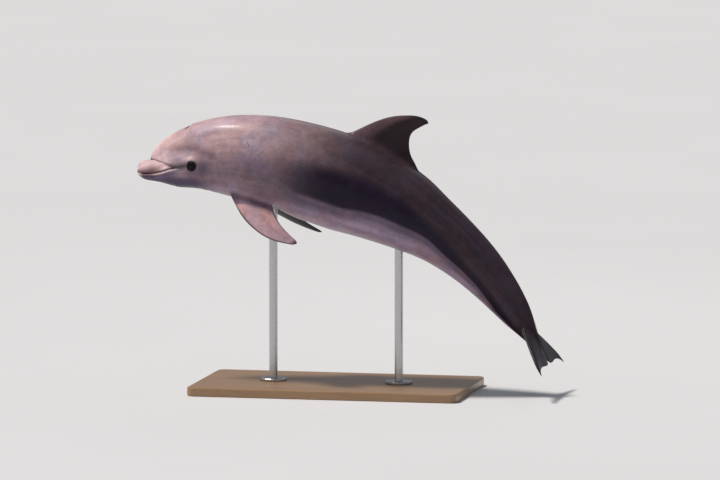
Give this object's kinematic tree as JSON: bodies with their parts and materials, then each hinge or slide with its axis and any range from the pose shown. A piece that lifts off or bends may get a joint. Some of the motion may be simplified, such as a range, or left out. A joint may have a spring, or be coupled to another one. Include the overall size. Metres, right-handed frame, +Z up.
{
  "type": "bottlenose dolphin",
  "caption": "Life-size young bottlenose dolphin arched in a leap, held above a flat display base on upright rods.",
  "frame": {"origin": "middle of the display base's underside, on the floor", "axes": "+Z up; the animal faces -X, so +X is toward its tail and -Y is its left side; its body's plane of symmetry is Y = 0"},
  "size_m": [1.7011, 0.6, 1.1153],
  "materials": {
    "head_skin": "wet, smooth skin",
    "jaw_skin": "wet, smooth skin",
    "body_skin": "wet, smooth skin",
    "fin_skin": "wet, smooth skin",
    "flipper_skin": "wet, smooth skin",
    "eye": "wet, polished",
    "stand_wood": "satin varnish",
    "stand_steel": "brushed"
  },
  "bodies": {
    "root": {"upper_jaw": "head_skin", "lower_jaw": "jaw_skin", "head": "head_skin", "eye_left": "eye", "eye_right": "eye", "trunk": "body_skin", "tail_stock": "body_skin", "dorsal_fin": "fin_skin", "flipper_left": "flipper_skin", "flipper_right": "flipper_skin", "fluke_left": "fin_skin", "fluke_right": "fin_skin", "stand_base": "stand_wood", "stand_flange_front": "stand_steel", "stand_flange_rear": "stand_steel", "stand_rod_front": "stand_steel", "stand_rod_rear": "stand_steel"}
  },
  "joints": []
}
